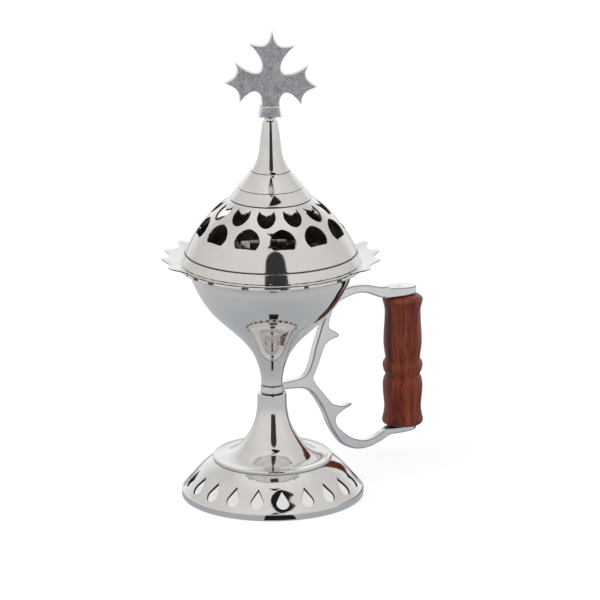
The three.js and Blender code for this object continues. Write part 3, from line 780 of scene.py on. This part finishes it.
def charcoal_pan():
    """The pan hangs in the bowl by its brim, from which the two lugs grow."""
    floor, floor_radius, top_radius, sheet = BRIM_TOP - 16.5, 29.0, 38.4, 0.8
    lug_rise = 2.7
    steps, fullness = 12, 0.35  # the smaller, the steeper the wall
    edge_width, edge_insets = 0.5, (0.5, 0.35, 0.1)
    dent, dent_waves = 0.045, (17, 29, 47)
    height, spread = BRIM_UNDER - floor, top_radius - floor_radius
    wall = [
        (floor_radius + spread * (k / steps) ** fullness, floor + height * k / steps)
        for k in range(1, steps)
    ]
    outer = [(floor_radius, floor), *wall, (top_radius, BRIM_UNDER)]
    inner = [(r - sheet, z + sheet * (0.5 if k else 1)) for k, (r, z) in enumerate(outer[:-1])]
    thick = BRIM_TOP - BRIM_UNDER
    slope = lug_rise / LUG_REACH
    radius = lug_edge()

    def edge(turn, r, z):
        """Points past the brim's line are drawn out to the lugs, and rise with them."""
        if r < BRIM - edge_width:
            return r, z
        share = (r - BRIM + edge_width) / edge_width
        grown = (radius(turn) - BRIM) * share
        uneven = sum(math.sin(waves * turn + waves) for waves in dent_waves) * dent * share
        return r + grown, z + slope * grown + uneven

    def shaded_lug_edge(radius, height, normal):
        """The sawn edge of the lugs, apart from their flat top and underside; it gets painted shade."""
        return radius > BRIM + 0.6 and -0.9 < normal.z < 0.2

    profile = [
        (0, floor),
        *outer,
        *[(BRIM - inset, BRIM_UNDER) for inset in edge_insets],
        (BRIM, BRIM_UNDER + thick * 0.3),
        (BRIM, BRIM_UNDER + thick * 0.7),
        *[(BRIM - inset, BRIM_TOP) for inset in reversed(edge_insets)],
        (top_radius - sheet, BRIM_TOP),
        *reversed(inner),
        (0, floor + sheet),
    ]
    pan = turned("charcoal_pan_fine", profile, facets=3 * FINE, edge=edge)
    # The lugs' edges get slot 1: painted shade.
    mark(pan, 1, shaded_lug_edge)
    dress(pan, "pan", "polished_nickel", "charcoal_pan", others=[PAINTED_SHADE])


# Lid


def bud_opening():
    """Round-bottomed bud with two horns and a notch between them."""
    left = [
        ((-1.2, 2.6), (-2.2, 2.9)),
        ((-3.0, 3.6), (-3.6, 5.0)),
        ((-4.2, 3.2), (-4.6, 1.2)),
        ((-4.9, -1.8), (-2.8, -5.6), (0, -5.6)),
    ]
    half = outline((0, 1.5), *left)
    return half + [(-x, y) for x, y in reversed(half[1:-1])]


def arch_opening():
    """Round arch on a short flat sill."""
    half = outline(
        (0, 5.7),
        ((-3.8, 4.9), (-6.4, 2.0), (-6.6, -1.6)),
        ((-6.3, -4.1), (-5, -5.3)),
    )
    return half + [(-x, y) for x, y in reversed(half[1:])]


def lid_dome():
    """The dome with its two rows of openings, and the line turned above its rim."""
    bottom, top = low("lid_dome"), high("lid_dome")
    rim = BRIM - 0.5
    control = [(CROWN, top), (CROWN + 12.6, top - 8.2), (rim - 5.3, bottom + 11.8), (rim, bottom)]
    rows = [(bud_opening(), 0.155, 15), (arch_opening(), 0.435, 0)]  # shape, share down, first turn
    steps, nearby = 96, 0.001

    def on_curve(share):
        a, b, c, d = (Vector(p) for p in control)
        k = 1 - share
        return a * k**3 + 3 * b * k * k * share + 3 * c * k * share**2 + d * share**3

    def leaning(share):
        return (on_curve(share + nearby) - on_curve(share - nearby)).normalized()

    groove_height, groove_depth = bottom + 4.8, 0.2
    groove_low, groove_high = groove_height - groove_depth, groove_height + groove_depth
    line = [tuple(on_curve(k / steps)) for k in range(steps + 1)]
    outer = [
        *[p for p in line if p[1] > groove_high],
        (radius_at(line, groove_height) - groove_depth, groove_height),
        *[p for p in line if p[1] < groove_low],
    ]
    inner = offset(line, -SHEET)[2:-1]
    profile = [
        (STUD_BORE, top),
        *outer,
        (rim - SHEET, bottom),
        *reversed(inner),
        (CROWN - 0.4, top - SHEET),
        (STUD_BORE, top - SHEET),
    ]

    def in_groove(radius, height, normal):
        return radius > rim - 8 and groove_low < height < groove_high

    dome = turned("lid_dome_fine", profile)
    for shape, share, first_turn in rows:
        place, lean = on_curve(share), leaning(share)
        slope = math.atan2(lean.x, -lean.y)
        openings = cutters(shape, place.x, place.y, slope, count=12, first_turn=first_turn, depth=7)
        combine(dome, openings, "DIFFERENCE")
    inside = range(1 + len(outer), len(profile))
    shade_as_turned(dome, profile, inner=inside)
    # The groove gets slot 2: painted shade in the turned line.
    mark(dome, 2, in_groove)
    dress(dome, "lid", "polished_nickel", "lid_dome", others=[LID_INSIDE, PAINTED_SHADE])


def lid_top():
    """Band, spire and the ring under the cross."""
    under, top = low("lid_band"), high("lid_band")
    band_top, wall = 16.2, 1.6
    section = [(CROWN, under), (band_top, top), (band_top - wall, top), (CROWN - wall, under)]
    profile = rounded(section, 0.2)
    dress(turned("lid_band_fine", profile), "lid", "polished_nickel", "lid_band")

    bottom, top = low("lid_spire"), high("lid_spire")
    tip = 3.65
    outer = through(
        [
            (band_top, bottom),
            (band_top - 3.9, bottom + 4.6),
            (band_top - 7.2, bottom + 8.8),
            (tip + 3.6, top - 21.3),
            (tip + 2.4, top - 18),
            (tip + 1.8, top - 14.2),
            (tip + 1.2, top - 8.5),
            (tip, top),
        ],
        steps=10,
    )
    ring_line, depth = bottom + 8.0, 0.16
    groove = [
        (radius_at(outer, ring_line + up) - down, ring_line + up)
        for up, down in ((-depth, 0), (0, depth), (depth, 0))
    ]
    outer = [
        *[p for p in outer if p[1] < ring_line - depth],
        *groove,
        *[p for p in outer if p[1] > ring_line + depth],
    ]
    profile = [
        *outer,
        (STUD_BORE, top),
        (STUD_BORE, top - 2),
        (tip + 0.1, top - 2),
        (tip + 0.2, top - 8.5),
        (tip + 1.4, top - 18),
        (band_top - 8.8, bottom + 7.6),
        (band_top - wall, bottom),
    ]

    def in_ring_line(radius, height, normal):
        return radius > band_top - 8.5 and abs(height - ring_line) < depth

    spire = turned("lid_spire_fine", profile)
    # The ring line gets slot 1: painted shade in the groove.
    mark(spire, 1, in_ring_line)
    dress(spire, "lid", "polished_nickel", "lid_spire", others=[PAINTED_SHADE])

    bottom, top, neck = low("finial_neck"), high("finial_neck"), 2.9
    section = [(STUD_BORE, bottom), (neck, bottom), (neck, top), (STUD_BORE, top)]
    profile = rounded(section, 0.3)
    dress(turned("finial_neck_fine", profile), "lid", "polished_nickel", "finial_neck")


# Flat castings: cross and bracket


def standing(name, points, thickness, bevel, centre, turn=0.0, steps=3):
    """An upright flat outline with rounded edges, turned about a vertical axis through its centre."""
    curve = bpy.data.curves.new(name, "CURVE")
    curve.dimensions, curve.fill_mode = "2D", "BOTH"
    curve.extrude, curve.bevel_depth = (thickness / 2 - bevel) * MM, bevel * MM
    curve.offset, curve.bevel_resolution = -bevel * MM, steps
    line = curve.splines.new("POLY")
    line.points.add(len(points) - 1)
    for spot, (u, v) in zip(line.points, points):
        spot.co = (u * MM, v * MM, 0, 1)
    line.use_cyclic_u = True
    flat = in_scene(name, curve)
    mesh = evaluated_mesh(flat)
    bpy.data.objects.remove(flat)
    mesh.transform(
        Matrix.Translation(centre)
        @ Matrix.Rotation(math.radians(turn), 4, "Z")
        @ Matrix.Rotation(math.pi / 2, 4, "X")
    )
    return in_scene(name, mesh)


def cross():
    """The cross stands a little crooked: its top leans to the right and its right arm hangs."""
    foot_drop, foot_height, foot_half, foot_bevel = 16.1, 6.0, 5.6, 1.5
    centre_height = low("cross_finial") + foot_drop
    tip, span, lean, droop = 27.2, 22.8, 0.031, 0.065
    thickness, bevel, block_thickness, taper = 4.2, 0.7, 7.4, 0.82
    sharp_turn, face_level = math.radians(40), 0.95
    curves = [
        ((0.07, 17.5), (0.24, 19.0), (0.496, 20.2)),
        ((0.018, 11.2), (0.105, -1.6), (0.798, 10.6)),
        ((0.658, 5.2), (0.772, 2.6), (1, 0)),
        ((0.741, -1.9), (0.658, -4.0), (0.667, -9.4)),
        ((0.404, -0.6), (0.18, -2.2), (0.189, foot_height - foot_drop)),
    ]

    def place(point, side):
        x = side * point[0] * span
        return x + lean * (point[1] + foot_drop), point[1] - droop * x

    half = outline((0, tip), *curves, steps=14)
    base = [(foot_half - foot_bevel, -foot_drop), (foot_bevel - foot_half, -foot_drop)]
    points = [place(p, 1) for p in half] + base + [place(p, -1) for p in reversed(half[1:])]
    centre, turn = (AXIS, 0, centre_height * MM), -36
    piece = standing("cross_finial_fine", points, thickness, bevel, centre, turn=turn, steps=2)
    section = [
        (foot_half, -foot_drop),
        (foot_half * taper, foot_height - foot_drop),
        (-foot_half * taper, foot_height - foot_drop),
        (-foot_half, -foot_drop),
    ]
    block = standing("cross_foot", section, block_thickness, foot_bevel, centre, turn=turn, steps=2)
    combine(piece, block, "UNION")
    piece.data.shade_smooth()
    piece.data.set_sharp_from_angle(angle=sharp_turn)
    facing = Matrix.Rotation(math.radians(turn), 3, "Z") @ Vector((0, 1, 0))

    def on_edge(radius, height, normal):
        """Everything but the two flat faces, which keep their cast skin."""
        return abs(normal.dot(facing)) < face_level

    mark(piece, 1, on_edge)
    dress(piece, "lid", "cast_metal", "cross_finial", others=[MATERIALS["polished_nickel"]])


# Pads of the bracket: thickness, and thickness at the tip
LOW_PAD = (3.2, 2.8)
HIGH_PAD = (5.0, 3.4)


def bracket_points():
    """The bracket's outline: across from the stem, and height."""
    grip_low, grip_high = low("wood_grip"), high("wood_grip")
    collar = (high("foot_trumpet") + low("bowl")) / 2
    low_pad, high_pad = grip_low - SEAT, grip_high + SEAT
    low_face, high_face = low_pad - LOW_PAD[0], high_pad + HIGH_PAD[0]
    end = GRIP_REACH - 3  # inside the pads

    def near(*points):
        return [(x, collar + z) for x, z in points]

    def by_low(*points):
        return [(GRIP_REACH + x, grip_low + z) for x, z in points]

    def by_high(*points):
        return [(GRIP_REACH + x, grip_high + z) for x, z in points]

    # Outer edge of the lower branch, from the collar to its pad, and back along its inner edge.
    lower = through(
        [
            *near((4, -1.9), (12, -2.6), (19.4, -4.1), (23.8, -6.3), (27.1, -9.7), (30.1, -13.9)),
            *near((33.1, -18.9), (36.1, -25.6)),
            *by_low((-47.2, 4.2), (-42, -2.1), (-34.3, -6.3), (-25.7, -7.6), (-17.7, -6.4), (-11, -4.4)),
            (GRIP_REACH - 6, low_face),
        ],
        steps=4,
    )
    lower_inner = through(
        [
            (GRIP_REACH - 10.6, low_pad),
            *by_low((-15.5, -1.6), (-20, -3.1), (-24, -3.6), (-28, -3.2), (-32, -2), (-37.6, 1)),
            *by_low((-42.3, 4.9)),
            *near((42.2, -28.9), (40.9, -26), (41.6, -23.2), (46, -21), (51.4, -19.4)),
        ],
        steps=4,
    )
    crotch = through(
        [
            *near((51.6, -18.2), (47, -18.9), (43, -18.1), (39.6, -16.6), (36.6, -13.8)),
            *near((32.5, -9), (28.6, -4.4), (26, 0), (27.6, 3.4), (29.6, 7.2), (31.7, 11.8)),
            *near((32.9, 14.4), (34.8, 16.6), (38.1, 18), (42.8, 18.6)),
        ],
        steps=4,
    )
    upper_inner = through(
        [
            *near((43, 19.9), (40.3, 22), (37.3, 23.7), (36.4, 26.2)),
            *by_high((-49.5, -0.9), (-46.9, 2.6), (-43.2, 4.9), (-38.2, 6.1), (-33.2, 6.7)),
            *by_high((-28.2, 6.3), (-24.2, 5.1), (-20.3, 3.3), (-16.5, 1.6), (-12.5, 0.4)),
            (GRIP_REACH - 11.5, high_pad),
        ],
        steps=4,
    )
    upper = through(
        [
            (GRIP_REACH - 5, high_face),
            *by_high((-8.5, 5.4), (-12, 6.3), (-16.5, 7.1), (-23.2, 9.2), (-27.5, 10.2), (-32, 10.8)),
            *by_high((-37.5, 10.9), (-42.5, 9.6), (-47.3, 6.3), (-51.2, 1.6)),
            *near((33.6, 29.2), (31.8, 25.8), (29.5, 20.4), (27.5, 15.6), (26.1, 11), (24, 6)),
            *near((22.2, 3.5), (19.8, 2.1), (16, 1.5), (10, 1.6), (4, 1.9)),
        ],
        steps=4,
    )
    return [
        *lower,
        (end, low_face),
        (end, low_pad),
        *lower_inner,
        *crotch,
        *upper_inner,
        (end, high_pad),
        (end, high_face),
        *upper,
    ]


def pad_at(seat, outward, thick, thick_at_tip):
    """A leaf-shaped pad at an end of the grip, thinner towards its tip on its outer side."""
    half, tip, root = 5.3, 7.9, 13
    edge = [
        (-root, -1.6),
        (-root + 4.5, -0.62 * half),
        (-2.5, -0.98 * half),
        (2.5, -0.97 * half),
        (tip - 1.6, -0.64 * half),
        (tip, 0),
    ]
    line = through([*edge, *[(x, -y) for x, y in reversed(edge[:-1])]])
    slope = (thick - thick_at_tip) / (2 * tip + 1)

    def height(x, side):
        return (seat + side * (thick - slope * max(x + tip, 0))) * MM

    def fill(bm):
        rings = [
            [bm.verts.new((GRIP_X + x * MM, y * MM, height(x, side))) for x, y in line]
            for side in (0, outward)
        ]
        for ring in rings:
            bm.faces.new(ring)
        for i in range(len(line)):
            bm.faces.new((rings[0][i - 1], rings[0][i], rings[1][i], rings[1][i - 1]))

    return new_object("pad", fill)


def handle_bracket():
    """Branches, collar and pads as one casting, its joins softened as if poured and filed."""
    thickness, bevel, collar_radius = 3.8, 0.45, 5.7
    voxel, smoothings = 0.32, 6
    bottom, top = high("foot_trumpet") + SEAT, low("bowl") - SEAT
    piece = standing("handle_bracket_fine", bracket_points(), thickness, bevel, (AXIS, 0, 0))
    section = [
        (SCREW_BORE, bottom),
        (collar_radius, bottom),
        (collar_radius, top),
        (SCREW_BORE, top),
    ]
    collar = turned("collar", section, facets=96)
    for other in (
        collar,
        pad_at(low("wood_grip") - SEAT, -1, *LOW_PAD),
        pad_at(high("wood_grip") + SEAT, 1, *HIGH_PAD),
    ):
        combine(piece, other, "UNION")
    remesh = piece.modifiers.new("even", "REMESH")
    remesh.mode, remesh.voxel_size = "VOXEL", voxel * MM
    soften = piece.modifiers.new("soften", "SMOOTH")
    soften.factor, soften.iterations = 0.5, smoothings
    apply_modifiers(piece)
    piece.data.shade_smooth()
    dress(piece, "stand", "bracket_nickel", "handle_bracket")


def wood_grip():
    """The turned grip. Its profile is in shares of its radius and its length."""
    bottom = low("wood_grip")
    length = high("wood_grip") - bottom
    bore = 2.3
    widest = radius_of("wood_grip")
    shares = [
        (0.796, 0.0015), (0.93, 0.009), (1, 0.032), (0.938, 0.081), (0.896, 0.139), (0.948, 0.232),
        (0.972, 0.304), (0.929, 0.354), (0.844, 0.386), (0.929, 0.42), (0.976, 0.458), (0.938, 0.486),
        (0.848, 0.506), (0.919, 0.601), (0.934, 0.667), (0.877, 0.833), (0.882, 0.893), (0.962, 0.948),
        (0.981, 0.968), (0.815, 0.99), (0.493, 1),
    ]
    turning = [(across * widest, up * length) for across, up in shares]
    line = through(turning, steps=8)
    profile = [
        (bore, bottom),
        (0.7 * widest, bottom),
        *[(r, bottom + z) for r, z in line],
        (bore, bottom + length),
    ]
    grip = turned("wood_grip_fine", profile, facets=144, axis=GRIP_X)
    dress(grip, "stand", "varnished_wood", "wood_grip")


foot()
bowl()
charcoal_pan()
lid_dome()
lid_top()
cross()
handle_bracket()
wood_grip()

# The solids get their materials too, because those without a finer piece are shown as they are.
for entry in frame["record"]["subparts"]:
    node = frame["nodes"][entry["node"]]
    node.data.materials.clear()
    node.data.materials.append(MATERIALS[entry["material_slot"]])


# Floor, light and camera

AZIMUTH = math.radians(-40.0)  # of the photograph's camera
RIGHT = Vector((math.cos(AZIMUTH), math.sin(AZIMUTH), 0))
AWAY = Vector((-math.sin(AZIMUTH), math.cos(AZIMUTH), 0))
STEM = Vector((AXIS, AXIS_Y, 0))
FLOOR_RADIUS = 6.0
BLACK, DARK = (0.012, 0.012, 0.014), (0.035, 0.036, 0.038)
# The table as metal sees it: grey, with painted shade that makes it darker near the stem than far away.
TABLE_NEAR_SHADED, FAR_TABLE = (0.44, 0.465, 0.49), (0.70, 0.70, 0.705)


def bearing(turn):
    """Level direction away from the stem, at a turn from the camera's side towards the right."""
    heading = math.radians(turn)
    return -AWAY * math.cos(heading) + RIGHT * math.sin(heading)


def seen_white(m, strength):
    """Adds light that only the camera, metal and glass see, so that the ground looks white."""
    path = m.node("ShaderNodeLightPath").outputs
    seen = path["Is Camera Ray"]
    for name in ("Is Glossy Ray", "Is Transmission Ray"):
        seen = m.math("MAXIMUM", seen, path[name])
    m.finished(Emission_Color=(1, 1, 1, 1), Emission_Strength=m.math("MULTIPLY", seen, strength))


def matt_floor():
    """The ground, a hair under the foot."""
    hair = 0.0002

    def fill(bm):
        bmesh.ops.create_circle(bm, cap_ends=True, radius=FLOOR_RADIUS, segments=96)

    ground = new_object("floor", fill)
    ground.location.z = -hair
    m = new_material("floor")
    seen_white(m, strength=0.7)
    ground.data.materials.append(m.finished(Base_Color=(0.35, 0.35, 0.35, 1), Roughness=0.9))


def card(name, colour, corners, far_colour=None):
    """A flat card that only polished metal sees; the camera and the light pass through it.

    Its colour can fade to another between two distances from the stem: the table uses that for painted
    shade, darker near the object.
    """
    near, far = 0.07, 0.5

    def fill(bm):
        bm.faces.new([bm.verts.new(corner) for corner in corners])

    piece = new_object(name, fill)
    m = new_material(name)
    glow = (*colour, 1)
    if far_colour:
        apart = m.math("DISTANCE", m.place, STEM, kind="ShaderNodeVectorMath")
        share = m.math("SQRT", m.math("DIVIDE", apart, FLOOR_RADIUS))
        stops = [
            (math.sqrt(distance / FLOOR_RADIUS), tint)
            for distance, tint in ((near, colour), (far, far_colour))
        ]
        glow = m.ramp(share, *stops)
    material = m.finished(
        Base_Color=(0, 0, 0, 1),
        Roughness=1.0,
        Specular_IOR_Level=0.0,
        Emission_Color=glow,
        Emission_Strength=1.0,
    )
    piece.data.materials.append(material)
    piece.visible_camera = False
    piece.visible_shadow = False
    piece.visible_diffuse = False


def archway(distance, turn, width, bottom, top):
    """Corners of an upright opening that faces the stem, with a half circle for its top."""
    half, steps = width / 2, 16
    shoulder = top - half
    arch = [
        (half * math.cos(math.pi * k / steps), shoulder + half * math.sin(math.pi * k / steps))
        for k in range(1, steps)
    ]
    edge = [(-half, bottom), (half, bottom), (half, shoulder), *arch, (-half, shoulder)]
    toward = bearing(turn)
    across = Vector((-toward.y, toward.x, 0))
    return [STEM + toward * distance + across * u + Vector((0, 0, v)) for u, v in edge]


def sector(near, far, turn, half_turn, height, near_half_turn=None):
    """Corners of a level ring sector round the stem, as wide at its near side unless that is given."""
    steps = 24
    near_half_turn = near_half_turn or half_turn
    made = []
    for radius, half, sign in ((near, near_half_turn, 1), (far, half_turn, -1)):
        for k in range(steps + 1):
            toward = bearing(turn + sign * half * (2 * k / steps - 1))
            made.append(STEM + toward * radius + Vector((0, 0, height)))
    return made


def world():
    """A pale tent: soft grey round the object, lighter overhead and straight behind it."""
    scene = bpy.context.scene
    scene.world = bpy.data.worlds.new("tent")
    m = Recipe(scene.world, shader="Background", place="Generated")
    front, sides, behind = (0.77, 0.742, 0.715), (0.66, 0.655, 0.65), (0.96, 0.96, 0.96)
    ceiling = (0.86, 0.84, 0.82, 1)
    facing = m.math("DOT_PRODUCT", m.place, AWAY, kind="ShaderNodeVectorMath")
    depth = m.ranged(facing, 0.0, 1.0, low_in=-1.0, high_in=1.0)
    walls = m.ramp(depth, (0.3, front), (0.8, sides), (0.97, behind))
    height = m.node("ShaderNodeSeparateXYZ", Vector=m.place).outputs["Z"]
    overhead = m.ranged(height, 0.0, 1.0, low_in=0.8, high_in=0.97)
    m.finished(Color=m.mixed(walls, ceiling, factor=overhead), Strength=1.0)


def softbox(name, turn, elevation, distance, size, power):
    """A square lamp aimed at the middle of the object."""
    lamp = bpy.data.lights.new(name, "AREA")
    lamp.energy, lamp.size = power, size
    lift = math.radians(elevation)
    middle = STEM + Vector((0, 0, 0.1))
    light = in_scene(name, lamp)
    light.location = middle + distance * (
        bearing(turn) * math.cos(lift) + Vector((0, 0, math.sin(lift)))
    )
    light.rotation_euler = (light.location - middle).to_track_quat("Z", "Y").to_euler()
    light.visible_glossy = False


def camera():
    """The photograph's view: 16 degrees above level, from 2.3 m away through a long lens."""
    stand_off, eye_height = 2.20833, 0.74288
    yaw, pitch, roll = -0.3696, -16.215, -0.312
    photo_width, focal_length = 600, 4618.2  # in pixels of the photograph
    data = bpy.data.cameras.new("camera")
    data.sensor_width = 36.0
    data.lens = data.sensor_width * (focal_length / photo_width)
    data.clip_end = 50
    view = in_scene("camera", data)
    view.matrix_world = (
        Matrix.Translation(STEM - AWAY * stand_off + Vector((0, 0, eye_height)))
        @ Matrix.Rotation(AZIMUTH + math.radians(yaw), 4, "Z")
        @ Matrix.Rotation(math.pi / 2 + math.radians(pitch), 4, "X")
        @ Matrix.Rotation(math.radians(roll), 4, "Z")
    )
    bpy.context.scene.camera = view


matt_floor()
card("opening", DARK, archway(distance=1.1, turn=7, width=0.62, bottom=0.0, top=1.45))
card("opening_sill", BLACK, sector(0.0466, 0.064, turn=4.8, half_turn=10.5, height=0.00012))
card(
    "opening_overhead",
    BLACK,
    sector(0.45, 0.68, turn=18, half_turn=25, height=1.0, near_half_turn=3.5),
)
card(
    "opening_peak",
    BLACK,
    sector(0.39, 0.465, turn=5, half_turn=2, height=1.0, near_half_turn=20),
)
# Painted shadow: black under the skirt, where the table lies in the foot's shade, seen in the metal.
card("painted_shadow_under_foot", BLACK, sector(0.0, 0.0445, turn=0, half_turn=180, height=0.00013))
# Painted shade: a black strip on the table beside the grip, seen in the metal.
card("painted_shade_behind_grip", BLACK, sector(0.1, 0.3, turn=130, half_turn=6.5, height=0.0001))
# Grey table seen in the metal, with painted shade round the object.
card(
    "table_with_painted_shade",
    TABLE_NEAR_SHADED,
    sector(0.0, FLOOR_RADIUS - 0.1, turn=0, half_turn=180, height=0.0),
    far_colour=FAR_TABLE,
)
world()
softbox("key", turn=-50, elevation=45, distance=1.6, size=0.9, power=9)
softbox("fill", turn=60, elevation=30, distance=1.8, size=1.0, power=4)
camera()

bpy.context.scene.view_settings.view_transform = "Standard"
